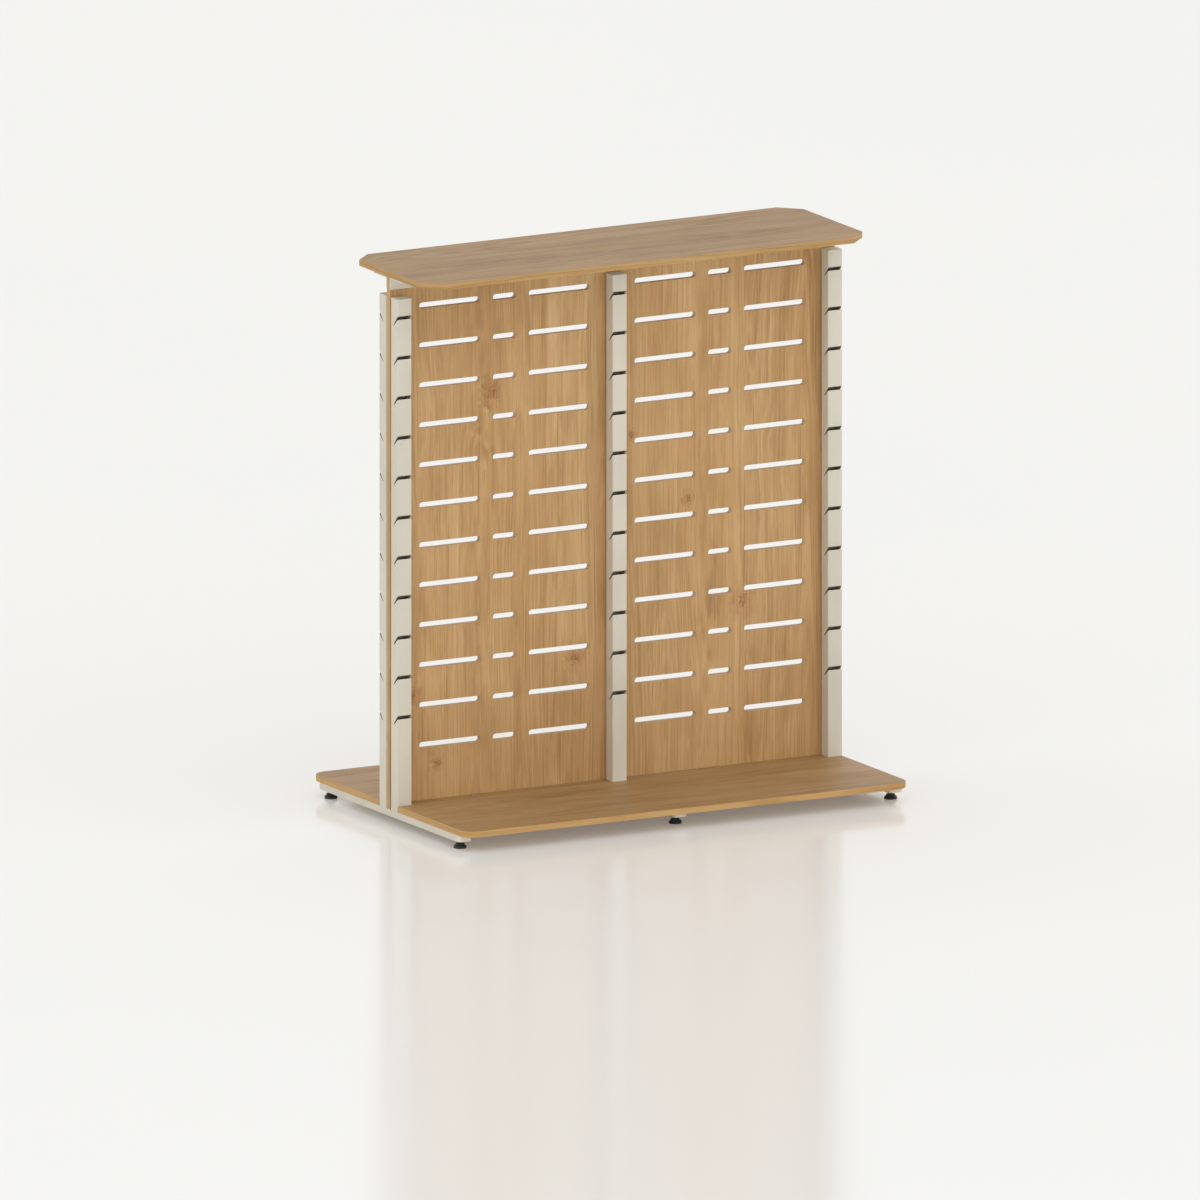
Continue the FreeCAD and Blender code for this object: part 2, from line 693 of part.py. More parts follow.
# Top rails: bent angles that carry the top board, bolted through the panels
def make_top_rail(label, side):
    body = new_piece(label)
    face = "-Places.panel_face"
    bend = "(Sizes.rail_bend + Sizes.rail_sheet)"
    section = sketch_on(body, "YZ_Plane")
    outline(
        section,
        [
            (f"{face} - Sizes.rail_sheet", "-Sizes.rail_height"),
            (face, "-Sizes.rail_height"),
            (face, f"-{bend}", bend),
            (f"{face} - {bend}", "0"),
            (f"{face} - Sizes.rail_reach", "0"),
            (f"{face} - Sizes.rail_reach", "-Sizes.rail_sheet"),
            (f"{face} - {bend}", "-Sizes.rail_sheet", "Sizes.rail_bend", "hollow"),
            (f"{face} - Sizes.rail_sheet", f"-{bend}"),
        ],
    )
    pad(body, section, "2 * Places.half_length", both_ways=True)
    bolt_holes = sketch_on(body, "XZ_Plane")
    for x in rail_bolt_places():
        circle(bolt_holes, x, "-Sizes.rail_bolt_drop", "Sizes.rail_bolt_diameter + 2 * Sizes.bolt_play")
    cut_through(body, bolt_holes)
    screw_holes = sketch_on(body, "XY_Plane")
    for x, y in top_screw_places():
        if value(y) < 0:
            circle(screw_holes, x, y, "Sizes.top_screw_diameter + 2 * Sizes.screw_play")
    cut_through(body, screw_holes)
    place(body, z="Places.panel_top", side=side)


# Fasteners: each kind is one group of separate solids
def make_rail_bolts():
    body = new_piece("rail_bolts")
    heads = sketch_on(body, "XZ_Plane", "Places.rail_face")
    shanks = sketch_on(body, "XZ_Plane", "Places.rail_face")
    for x in rail_bolt_places():
        circle(heads, x, "-Sizes.rail_bolt_drop", "Sizes.rail_bolt_head")
        circle(shanks, x, "-Sizes.rail_bolt_drop", "Sizes.rail_bolt_diameter")
    pad(body, heads, "Sizes.rail_bolt_head_height")
    pad(body, shanks, "2 * Places.rail_face + Sizes.rail_nut_height + Sizes.rail_bolt_tail", backwards=True)
    place(body, z="Places.panel_top")


def make_rail_nuts():
    body = new_piece("rail_nuts")
    section = sketch_on(body, "XZ_Plane", "-Places.rail_face")
    for x in rail_bolt_places():
        outline(section, hexagon(x, "-Sizes.rail_bolt_drop", "Sizes.rail_nut_across"))
        circle(section, x, "-Sizes.rail_bolt_drop", "Sizes.rail_bolt_diameter + 2 * Sizes.thread_play")
    pad(body, section, "Sizes.rail_nut_height", backwards=True)
    place(body, z="Places.panel_top")


def make_screws(label, screw, spots, seat, length):
    """Screws that point upwards, their heads under a seat."""
    body = new_piece(label)
    heads = sketch_on(body, "XY_Plane", seat)
    shanks = sketch_on(body, "XY_Plane", seat)
    for x, y in spots:
        circle(heads, x, y, f"Sizes.{screw}_head")
        circle(shanks, x, y, f"Sizes.{screw}_diameter")
    pad(body, heads, f"Sizes.{screw}_head_height", backwards=True)
    pad(body, shanks, length)


def make_foot_nuts():
    body = new_piece("foot_nuts")
    section = sketch_on(body, "XY_Plane", "Sizes.bar_clearance + Sizes.bar_wall")
    for _, x, y in foot_places():
        outline(section, hexagon(x, y, "Sizes.foot_nut_across"))
        circle(section, x, y, "Sizes.stud_diameter + 2 * Sizes.thread_play")
    pad(body, section, "Sizes.foot_nut_height")


# Levelling feet: a flared pad with a socket, and a stud that turns in it by its hexagon collar
def make_foot_pad(label, x, y):
    body = new_piece(label)
    half_section = sketch_on(body, "XZ_Plane")
    socket = "Sizes.pivot_diameter / 2 + Sizes.thread_play"
    floor = "Sizes.pad_height - Sizes.pivot_length - Sizes.pivot_end_play"
    outline(
        half_section,
        [
            ("0", "0"),
            ("Sizes.pad_diameter / 2", "0"),
            ("Sizes.pad_diameter / 2", "Sizes.pad_rim"),
            ("Sizes.pad_crown / 2", "Sizes.pad_height"),
            (socket, "Sizes.pad_height"),
            (socket, floor),
            ("0", floor),
        ],
    )
    turned = body.newObject("PartDesign::Revolution", "Turned")
    turned.Profile = half_section
    turned.ReferenceAxis = (half_section, ["V_Axis"])
    turned.Angle = 360
    body.Tip = turned
    crown = value("Sizes.pad_crown") - TOUCH
    dress(
        body,
        "Fillet",
        turned,
        "Radius",
        "Sizes.pad_ease",
        lambda edge: lies_level(edge) and edge.BoundBox.XLength > crown,
    )
    place(body, x, y)


def make_foot_stud(label, x, y):
    body = new_piece(label)
    collar = sketch_on(body, "XY_Plane", "Sizes.pad_height")
    outline(collar, hexagon("0", "0", "Sizes.collar_across"))
    pad(body, collar, "Sizes.collar_height")
    pivot = sketch_on(body, "XY_Plane", "Sizes.pad_height")
    circle(pivot, "0", "0", "Sizes.pivot_diameter")
    pad(body, pivot, "Sizes.pivot_length", backwards=True)
    thread = sketch_on(body, "XY_Plane", "Places.collar_top")
    circle(thread, "0", "0", "Sizes.stud_diameter")
    shank = pad(body, thread, "Sizes.stud_length")
    near_top = value("Places.collar_top + Sizes.stud_length") - TOUCH
    dress(body, "Chamfer", shank, "Size", "Sizes.stud_point", lambda edge: edge.BoundBox.ZMin > near_top)
    place(body, x, y)


def make_frame():
    for column in COLUMNS:
        x = column_x(column)
        make_foot_bar(f"{column}_foot_bar", x)
        for side_name, side in SIDES.items():
            make_bar_end_cap(f"{column}_{side_name}_bar_end_cap", x, side)
            make_post(f"{column}_{side_name}_post", x, side)
            make_post_cap(f"{column}_{side_name}_post_cap", x, side)
            make_spacer_strip(f"{column}_{side_name}_spacer_strip", x, side)
    for side_name, side in SIDES.items():
        make_top_rail(f"{side_name}_top_rail", side)


def make_boards():
    for bay_name, bay in BAYS.items():
        make_panel(f"{bay_name}_panel", bay)
        make_panel_band(f"{bay_name}_panel_edge_band", bay)
    for side_name, side in SIDES.items():
        shelf = new_piece(f"{side_name}_base_shelf")
        make_shelf_board(shelf, "Sizes.band_thick", side)
        whole_shelf = doc.addObject("PartDesign::Body", f"{side_name}_base_shelf_outline")
        make_shelf_board(whole_shelf, "0", side, eased=True)
        make_band(f"{side_name}_base_shelf_edge_band", whole_shelf, shelf)
    top = new_piece("top_board")
    make_top_board(top, "Sizes.band_thick")
    whole_top = doc.addObject("PartDesign::Body", "top_board_outline")
    make_top_board(whole_top, "0", eased=True)
    make_band("top_board_edge_band", whole_top, top)


def make_fasteners():
    make_rail_bolts()
    make_rail_nuts()
    make_screws(
        "top_board_screws",
        "top_screw",
        top_screw_places(),
        "Places.panel_top - Sizes.rail_sheet",
        "Sizes.rail_sheet + Sizes.top_screw_bite",
    )
    make_screws(
        "base_shelf_screws",
        "shelf_screw",
        shelf_screw_places(SIDES.values()),
        "Sizes.bar_clearance",
        "Sizes.bar_height + Sizes.shelf_screw_bite",
    )
    make_foot_nuts()


def make_feet():
    for name, x, y in foot_places():
        make_foot_pad(f"{name}_foot_pad", x, y)
        make_foot_stud(f"{name}_foot_stud", x, y)


def check_model():
    """Stops before anything is written if a feature failed, cut nothing or left a bad solid."""
    for thing in doc.Objects:
        if "Invalid" in thing.State or "Error" in thing.State:
            raise RuntimeError(f"{thing.Label} failed: {thing.State}")
        if thing.TypeId == "PartDesign::Pocket" and thing.Shape.Volume >= thing.BaseFeature.Shape.Volume:
            raise RuntimeError(f"{thing.Label} in {thing.getParent().Label} cuts nothing")
    for piece in pieces:
        if piece.Shape.isNull() or not piece.Shape.isValid() or not piece.Shape.Solids:
            raise RuntimeError(f"{piece.Label} has no sound solid")


make_frame()
make_boards()
make_fasteners()
make_feet()
doc.recompute()
check_model()
os.makedirs("parts", exist_ok=True)
for piece in pieces:
    piece.Shape.exportStep(f"parts/{piece.Label}.step")
    print(f"{piece.Label}: {len(piece.Shape.Solids)} solid(s), {piece.Shape.Volume / 1000:.1f} cm3")
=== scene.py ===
import math

import bmesh
import bpy
from mathutils import Matrix, Vector


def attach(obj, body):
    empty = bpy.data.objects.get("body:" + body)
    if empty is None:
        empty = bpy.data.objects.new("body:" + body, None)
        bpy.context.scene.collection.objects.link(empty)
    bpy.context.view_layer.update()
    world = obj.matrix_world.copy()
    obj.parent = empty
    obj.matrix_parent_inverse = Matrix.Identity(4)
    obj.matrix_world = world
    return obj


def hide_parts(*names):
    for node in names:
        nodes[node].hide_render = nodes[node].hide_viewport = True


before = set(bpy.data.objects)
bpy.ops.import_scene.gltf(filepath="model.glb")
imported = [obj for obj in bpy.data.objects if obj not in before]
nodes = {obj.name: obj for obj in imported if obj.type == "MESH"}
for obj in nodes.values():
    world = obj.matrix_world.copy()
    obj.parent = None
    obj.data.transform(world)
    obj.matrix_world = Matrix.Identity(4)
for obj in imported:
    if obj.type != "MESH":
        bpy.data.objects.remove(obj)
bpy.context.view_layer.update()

# Sizes of the stand are in millimetres, and this is one in metres
MM = 0.001

# Which way the columns of posts, the bays and the two sides lie from the middle
COLUMNS = {"left": -1, "middle": 0, "right": 1}
BAYS = {"left": -1, "right": 1}
SIDES = {"front": -1, "back": 1}

# Posts: centre distance, half width, wall, and inner and outer face from the middle plane
POST_PITCH = 600
POST_HALF_WIDTH = 20
POST_WALL = 2
POST_BACK = 12
POST_FACE = 47

# How deep below its inner face a post's wall carries the painted shade of the hollow
HOLLOW_SKIN = 0.3

# Boards: a panel's thickness and that of its foil, and the height below which a shelf shows its underside
PANEL_THICK = 15
FOIL_THICK = 0.3
SHELF_UNDERSIDE = 37.5

# Places of bolts and screws, and their seats
PANEL_TOP = 1368
RAIL_SHEET = 3
RAIL_FACE = 10.5
BOLT_DROP = 17
BOLT_PITCH = 200
TOP_SCREW_PITCH = 300
TOP_SCREW_LINE = 52.5
SHELF_SCREW_INNER = 120
SHELF_SCREW_OUTER = 280
BAR_UNDERSIDE = 20

# Places of the feet, from the middle plane and above the floor
FOOT_LINE = 330
PAD_HEIGHT = 7.5

# Middle of a pattern that runs from nought to one, and the range that holds most of it
MIDDLE = 0.5
MOST = (0.3, 0.7)

# Colour sockets of Blender's mix node
MIX_FIRST = 6
MIX_SECOND = 7
MIX_RESULT = 2


# Nodes of materials and of the world
def plug(tree, socket, value):
    """Links a node's output to a socket, or sets the socket to a plain value."""
    if isinstance(value, bpy.types.NodeSocket):
        tree.links.new(value, socket)
    else:
        socket.default_value = value


def add(tree, kind, inputs=None, **settings):
    """Adds a node with its settings, and with values or outputs for its inputs."""
    node = tree.nodes.new(kind)
    for name, setting in settings.items():
        setattr(node, name, setting)
    for name, value in (inputs or {}).items():
        plug(tree, node.inputs[name], value)
    return node


def number(tree, operation, first, second=0.0, third=0.0):
    inputs = {0: first, 1: second, 2: third}
    return add(tree, "ShaderNodeMath", inputs, operation=operation).outputs[0]


def times(tree, first, second):
    return number(tree, "MULTIPLY", first, second)


def times_plus(tree, value, share, base):
    return number(tree, "MULTIPLY_ADD", value, share, base)


def spread(tree, value, low, high, to_low=0.0, to_high=1.0):
    """A value between low and high, spread evenly between two others and held at its ends."""
    inputs = {"Value": value, "From Min": low, "From Max": high, "To Min": to_low, "To Max": to_high}
    return add(tree, "ShaderNodeMapRange", inputs).outputs[0]


def parts_of(tree, place):
    return add(tree, "ShaderNodeSeparateXYZ", {"Vector": place}).outputs


def joined(tree, first, second, third=0.0):
    return add(tree, "ShaderNodeCombineXYZ", {0: first, 1: second, 2: third}).outputs[0]


def speckle(tree, place, stretch, detail=2.0, roughness=0.5, shift=(0.0, 0.0, 0.0)):
    """Soft cloudy pattern with so many grains in a metre along each axis."""
    stretched = add(tree, "ShaderNodeMapping", {"Vector": place, "Location": shift, "Scale": stretch})
    inputs = {"Vector": stretched.outputs[0], "Scale": 1.0, "Detail": detail, "Roughness": roughness}
    return add(tree, "ShaderNodeTexNoise", inputs).outputs[0]


def about_nought(tree, pattern):
    return number(tree, "SUBTRACT", pattern, MIDDLE)


def tones(tree, value, stops):
    """Colour for a value, from stops of (value, colour)."""
    ramp = add(tree, "ShaderNodeValToRGB", {"Fac": value})
    marks = ramp.color_ramp.elements
    while len(marks) < len(stops):
        marks.new(MIDDLE)
    for mark, (position, colour) in zip(marks, stops):
        mark.position = position
        mark.color = (*colour, 1.0)
    return ramp.outputs[0]


def tint(tree, kind, amount, first, second):
    """Two colours blended: kind is MIX, MULTIPLY and so on."""
    inputs = {0: amount, MIX_FIRST: first, MIX_SECOND: second}
    return add(tree, "ShaderNodeMix", inputs, data_type="RGBA", blend_type=kind).outputs[MIX_RESULT]


def relief(tree, height, depth, strength):
    inputs = {"Height": height, "Distance": depth, "Strength": strength}
    return add(tree, "ShaderNodeBump", inputs).outputs[0]


def new_finish(name):
    """A bare material with one surface shader, and the place of each point on the piece."""
    finish = bpy.data.materials.new(name)
    finish.use_nodes = True
    tree = finish.node_tree
    tree.nodes.clear()
    surface = add(tree, "ShaderNodeBsdfPrincipled")
    add(tree, "ShaderNodeOutputMaterial", {"Surface": surface.outputs[0]})
    place = add(tree, "ShaderNodeTexCoord").outputs["Object"]
    return finish, tree, surface, place


def lay(tree, surface, **sockets):
    """Links or sets the surface shader's inputs, named with underscores for spaces."""
    for name, value in sockets.items():
        plug(tree, surface.inputs[name.replace("_", " ")], value)


# Print of the oak-look foil, in metres: how far on the back's print starts, and its run round an edge
BACK_SHIFT = 3.7
EDGE_RUN = 0.83

# Printed planks: usual width, wandering of their sides, unevenness, and how far apart they were cut
PLANK = 0.125
PLANK_WANDER = 0.03
PLANK_UNEVEN = 0.12
PLANK_BEAT = 3.9
PLANK_APART = 9.0

# Knots printed on the panels' front: place along X and Z, and radius, in millimetres
PANEL_KNOTS = (
    (-335, 1057, 13),
    (362, 458, 14),
    (-104, 371, 12),
    (-556, 312, 9),
    (-486, 140, 8),
    (212, 729, 7),
    (52, 905, 7),
)

# Knots are longer along the grain. Heart and halo fade between these radii, smudged by so many of them
KNOT_SQUASH = 0.75
NO_KNOT = 99.0
HEART_END = (0.6, 1.1)
HEART_SMUDGE = 3.0
HALO_END = (0.6, 3.2)
HALO_SMUDGE = 5.0

# Growth rings, in metres: where across a plank the log's heart lies, its depth, lean and turning length
RING_WIDTH = 0.007
HEART_SPAN = (0.15, 0.85)
HEART_DEPTH = 0.012
HEART_LEAN = 0.03
HEART_TURN = 2.3

# How far waves move the heart and knots, wobbles and curls move a ring, and how straight streaks run
WAVE_DEPTH = 0.05
KNOT_BEND = 0.012
WOBBLE_BEND = 0.006
CURL_BEND = 0.03
STREAK_STRAIGHT = 0.4

# Patterns of the print: grains in a metre across and along the grain, and change from plank to plank
SWAY = {"stretch": (4.0, 1.3, 0.0)}
SMUDGE = {"stretch": (75.0, 60.0, 0.0), "detail": 3.0, "roughness": 0.6}
SPOTS = {"stretch": (190.0, 170.0, 0.0), "detail": 1.0}
WAVES = {"stretch": (5.0, 1.6, 0.0)}
WOBBLE = {"stretch": (40.0, 9.0, 0.0), "detail": 3.0, "roughness": 0.6}
CURL = {"stretch": (17.0, 6.0, 0.0)}
CURLY = {"stretch": (5.0, 2.6, 0.0), "detail": 1.0, "shift": (7.1, 3.3, 0.0)}
RINGED = {"stretch": (9.0, 1.5, 0.0), "shift": (4.3, 1.7, 0.0)}
PATCHES = {"stretch": (13.0, 5.0, 0.0), "detail": 3.0, "roughness": 0.55, "shift": (2.3, 8.1, 0.0)}
ZONES = {"stretch": (28.0, 0.9, 5.0)}
STREAKS = {"stretch": (125.0, 2.4, 5.0), "detail": 3.0, "roughness": 0.6}
FIBRES = {"stretch": (430.0, 4.0, 5.0), "detail": 3.0, "roughness": 0.65}
PORES = {"stretch": (1200.0, 22.0, 5.0), "detail": 1.0}
LINES = {"stretch": (290.0, 2.2, 5.0), "detail": 1.0, "shift": (3.7, 0.9, 0.0)}
REDNESS = {"stretch": (17.0, 1.1, 5.0), "shift": (1.9, 6.1, 0.0)}

# Where such a pattern begins to show, and where it shows fully
SPOTS_SHOWN = (0.42, 0.56)
CURLY_SHOWN = (0.52, 0.68)
RINGED_SHOWN = (0.4, 0.68)
PORES_SHOWN = (0.60, 0.72)
LINES_SHOWN = (0.62, 0.74)
REDNESS_SHOWN = (0.35, 0.65)

# Shade of the wood: its usual value, what each pattern adds, and where dark, middle and light tones lie
USUAL_SHADE = 0.508
PLANK_SHADE = 0.035
PATCH_SHADE = 0.20
ZONE_SHADE = 0.25
STREAK_SHADE = 0.38
FIBRE_SHADE = 0.38
RING_SHADE = -0.10
TONE_STOPS = (0.32, 0.5, 0.68)

# Stains multiplied over the wood: how strong, and which colour
REDDER = (0.99, 0.955, 0.92, 1.0)
HALO_STAIN = (0.80, (0.86, 0.74, 0.70, 1.0))
LINE_STAIN = (0.55, (0.66, 0.56, 0.48, 1.0))
PORE_STAIN = (0.30, (0.55, 0.47, 0.38, 1.0))
HEART_STAIN = (0.65, (0.48, 0.34, 0.26, 1.0))

# Surface of the foil: roughness of dark and pale streaks, fibres' height, depth and strength of relief
FOIL_ROUGHNESS = (0.56, 0.44)
FIBRE_HEIGHT = 0.5
FOIL_RELIEF = (0.0002, 0.25)

# Fibre board inside a panel
CHIPS = {"stretch": (700.0, 700.0, 700.0), "detail": 3.0, "roughness": 0.7}
CHIP_TONES = ((0.3, (0.45, 0.28, 0.13)), (0.7, (0.62, 0.41, 0.21)))


def run_of_grain(tree, grain_way, x, y, z):
    """Each point's place across and along a grain that runs up, lengthwise or round an edge."""
    if grain_way == "up":
        back = number(tree, "GREATER_THAN", y, 0.0)
        return times_plus(tree, y, EDGE_RUN, x), times_plus(tree, back, BACK_SHIFT, z)
    if grain_way == "lengthwise":
        return times_plus(tree, z, EDGE_RUN, y), x
    return z, number(tree, "ADD", x, y)


def printed_planks(tree, flat):
    """Planks of uneven width, each cut from another place of the log."""
    across, along, _ = parts_of(tree, flat)
    sway = about_nought(tree, speckle(tree, flat, **SWAY))
    wandering = times_plus(tree, sway, PLANK_WANDER, across)
    plank = number(tree, "DIVIDE", wandering, PLANK)
    uneven = number(tree, "SINE", times(tree, plank, PLANK_BEAT))
    plank = times_plus(tree, uneven, PLANK_UNEVEN, plank)
    counted = number(tree, "FLOOR", plank)
    chances = add(tree, "ShaderNodeTexWhiteNoise", {"W": counted}, noise_dimensions="1D")
    luck = add(tree, "ShaderNodeSeparateColor", {"Color": chances.outputs["Color"]}).outputs
    lengthwise = times_plus(tree, luck[0], PLANK_APART, along)
    return plank, luck, wandering, lengthwise


def radii_from_knots(tree, x, along, knots):
    """How many of its radii each point lies from the nearest knot."""
    nearest = NO_KNOT
    for knot_x, knot_z, radius in knots:
        sideways = number(tree, "SUBTRACT", x, knot_x * MM)
        upwards = times_plus(tree, along, KNOT_SQUASH, -KNOT_SQUASH * knot_z * MM)
        squares = times_plus(tree, sideways, sideways, times(tree, upwards, upwards))
        away = number(tree, "DIVIDE", number(tree, "SQRT", squares), radius * MM)
        nearest = number(tree, "MINIMUM", nearest, away)
    return nearest


def knot_marks(tree, flat, from_knot):
    """Dark smudged hearts of the knots, and the redder wood that rings them."""
    smudge = about_nought(tree, speckle(tree, flat, **SMUDGE))
    spots = spread(tree, speckle(tree, flat, **SPOTS), *SPOTS_SHOWN)
    hearts = spread(tree, times_plus(tree, smudge, HEART_SMUDGE, from_knot), *HEART_END, 1.0, 0.0)
    halo = spread(tree, times_plus(tree, smudge, HALO_SMUDGE, from_knot), *HALO_END, 1.0, 0.0)
    return times(tree, hearts, spots), halo


def distance_from_heart(tree, flat, plank, luck, lengthwise, halo):
    """Distance from the heart of the log, bent round knots and curls, which tells the growth ring."""
    heart = spread(tree, luck[1], 0.0, 1.0, *HEART_SPAN)
    sideways = times(tree, number(tree, "SUBTRACT", number(tree, "FRACT", plank), heart), PLANK)
    waves = about_nought(tree, speckle(tree, flat, **WAVES))
    depth = times_plus(tree, number(tree, "PINGPONG", lengthwise, HEART_TURN), HEART_LEAN, HEART_DEPTH)
    depth = times_plus(tree, waves, WAVE_DEPTH, depth)
    squares = number(tree, "ADD", number(tree, "POWER", sideways, 2.0), number(tree, "POWER", depth, 2.0))
    distance = times_plus(tree, halo, KNOT_BEND, number(tree, "SQRT", squares))
    wobble = about_nought(tree, speckle(tree, flat, **WOBBLE))
    distance = times_plus(tree, wobble, WOBBLE_BEND, distance)
    curly = spread(tree, speckle(tree, flat, **CURLY), *CURLY_SHOWN)
    curl = about_nought(tree, speckle(tree, flat, **CURL))
    return times_plus(tree, times(tree, curl, curly), CURL_BEND, distance)


def late_wood(tree, flat, distance):
    """The dark end of each year's growth, where the print shows it."""
    year = number(tree, "FRACT", number(tree, "DIVIDE", distance, RING_WIDTH))
    late = number(tree, "SINE", times(tree, number(tree, "POWER", year, 2.0), math.pi))
    return times(tree, late, spread(tree, speckle(tree, flat, **RINGED), *RINGED_SHOWN))


# Oak-look foil of the boards: planks with arched growth rings, streaks along them, pores and a few knots
def oak_foil(name, grain_way, wood, sheen, shift, knots=(), core=False, underside=None):
    finish, tree, surface, place = new_finish(name)
    x, y, z = parts_of(tree, place)
    across, along = run_of_grain(tree, grain_way, x, y, z)
    flat = joined(tree, across, along)
    flat = add(tree, "ShaderNodeVectorMath", {0: flat, 1: shift}, operation="ADD").outputs[0]
    plank, luck, wandering, lengthwise = printed_planks(tree, flat)
    hearts, halo = knot_marks(tree, flat, radii_from_knots(tree, x, along, knots))
    distance = distance_from_heart(tree, flat, plank, luck, lengthwise, halo)

    # Zones follow the rings, streaks follow them in part, and fibres, pores and lines run straight
    ringed = joined(tree, distance, lengthwise, luck[2])
    bent = joined(tree, times_plus(tree, wandering, STREAK_STRAIGHT, distance), lengthwise, luck[2])
    straight = joined(tree, wandering, lengthwise, luck[2])
    streaks = speckle(tree, bent, **STREAKS)
    fibres = speckle(tree, straight, **FIBRES)
    pores = spread(tree, speckle(tree, straight, **PORES), *PORES_SHOWN)
    lines = spread(tree, speckle(tree, straight, **LINES), *LINES_SHOWN)

    shade = times_plus(tree, about_nought(tree, luck[2]), PLANK_SHADE, USUAL_SHADE)
    for pattern, share in (
        (speckle(tree, flat, **PATCHES), PATCH_SHADE),
        (speckle(tree, ringed, **ZONES), ZONE_SHADE),
        (streaks, STREAK_SHADE),
        (fibres, FIBRE_SHADE),
    ):
        shade = times_plus(tree, about_nought(tree, pattern), share, shade)
    shade = number(tree, "ADD", shade, times(tree, late_wood(tree, flat, distance), RING_SHADE))

    colour = tones(tree, shade, list(zip(TONE_STOPS, wood)))
    redness = spread(tree, speckle(tree, ringed, **REDNESS), *REDNESS_SHOWN)
    colour = tint(tree, "MULTIPLY", redness, colour, REDDER)
    for marks, (share, stain) in (
        (halo, HALO_STAIN),
        (lines, LINE_STAIN),
        (pores, PORE_STAIN),
        (hearts, HEART_STAIN),
    ):
        colour = tint(tree, "MULTIPLY", times(tree, marks, share), colour, stain)

    # Fibre board shows between the two foils, where slots are cut through
    if core:
        board = tones(tree, speckle(tree, place, **CHIPS), CHIP_TONES)
        core_face = (PANEL_THICK / 2 - FOIL_THICK) * MM
        inside = number(tree, "LESS_THAN", number(tree, "ABSOLUTE", y), core_face)
        colour = tint(tree, "MIX", inside, colour, board)

    # The underside of the shelves is plain, and paler than their top, whose darker tones are painted shade
    if underside:
        beneath = number(tree, "LESS_THAN", z, SHELF_UNDERSIDE * MM)
        colour = tint(tree, "MIX", beneath, colour, (*underside, 1.0))

    texture = number(tree, "SUBTRACT", times(tree, fibres, FIBRE_HEIGHT), pores)
    lay(
        tree,
        surface,
        Base_Color=colour,
        Roughness=spread(tree, streaks, *MOST, *FOIL_ROUGHNESS),
        Specular_IOR_Level=sheen,
        Normal=relief(tree, texture, *FOIL_RELIEF),
    )
    return finish


# Powder coat: cloudy patches that are paler or deeper, and an orange-peel skin with finer grit in it
COAT_PATCHES = {"stretch": (9.0, 9.0, 5.0), "detail": 3.0, "roughness": 0.55}
COAT_PALER = 1.05
COAT_DEEPER = 0.94
PEEL_ROUGHNESS = 0.55
GRIT_FINER = 4.0
GRIT_SHOWN = (0.58, 0.75)
GRIT_STAIN = (0.25, (0.86, 0.84, 0.8, 1.0))
GRIT_HEIGHT = 0.35
COAT_GLOSSIER = -0.05
COAT_DULLER = 0.07
COAT_RELIEF = (0.0003, 0.22)
# Painted shade: the coat's colour darkened inside the hollows of the posts
HOLLOW_SHADE_COLOUR = (0.30, 0.275, 0.22, 1.0)


def inside_posts(tree, place):
    """One in the hollows of the posts, nought on their outsides."""
    x, y, _ = parts_of(tree, place)
    pitch = POST_PITCH * MM
    bay = number(tree, "FRACT", times_plus(tree, x, 1.0 / pitch, MIDDLE))
    sideways = times(tree, number(tree, "ABSOLUTE", about_nought(tree, bay)), pitch)
    outwards = number(tree, "ABSOLUTE", y)
    between = number(tree, "LESS_THAN", sideways, (POST_HALF_WIDTH - POST_WALL + HOLLOW_SKIN) * MM)
    behind = number(tree, "LESS_THAN", outwards, (POST_FACE - POST_WALL + HOLLOW_SKIN) * MM)
    before = number(tree, "GREATER_THAN", outwards, (POST_BACK + POST_WALL - HOLLOW_SKIN) * MM)
    return times(tree, between, times(tree, behind, before))


# Beige powder coat or plastic, a little uneven in colour and gloss. Posts carry painted shade in their
# hollows
def powder_coat(name, colour, peel, gloss, hollow=False):
    finish, tree, surface, place = new_finish(name)
    patches = speckle(tree, place, **COAT_PATCHES)
    skin = speckle(tree, place, (peel, peel, peel), roughness=PEEL_ROUGHNESS)
    fine = GRIT_FINER * peel
    grit = speckle(tree, place, (fine, fine, fine), detail=1.0)
    paler = tuple(min(1.0, part * COAT_PALER) for part in colour)
    deeper = tuple(part * COAT_DEEPER for part in colour)
    low, high = MOST
    skin_colour = tones(tree, patches, ((low, deeper), (MIDDLE, colour), (high, paler)))
    share, stain = GRIT_STAIN
    dust = times(tree, spread(tree, grit, *GRIT_SHOWN), share)
    skin_colour = tint(tree, "MULTIPLY", dust, skin_colour, stain)
    # Painted shade in the hollows of the posts
    if hollow:
        skin_colour = tint(tree, "MIX", inside_posts(tree, place), skin_colour, HOLLOW_SHADE_COLOUR)
    height = number(tree, "ADD", skin, times(tree, grit, GRIT_HEIGHT))
    lay(
        tree,
        surface,
        Base_Color=skin_colour,
        Roughness=spread(tree, skin, *MOST, gloss + COAT_GLOSSIER, gloss + COAT_DULLER),
        Normal=relief(tree, height, *COAT_RELIEF),
    )
    return finish


# Black feet: a leathery skin, with paler scuffs that lie level
SCUFFS = {"stretch": (90.0, 90.0, 400.0), "detail": 4.0, "roughness": 0.65}
SCUFFS_SHOWN = (0.45, 0.78)
SCUFF_PALER = 2.2
SCUFF_DUST = 0.01
LEATHER_DETAIL = 3.0
LEATHER_ROUGHNESS = 0.6
LEATHER_GLOSSIER = -0.08
LEATHER_DULLER = 0.1
LEATHER_RELIEF = (0.0002, 0.3)


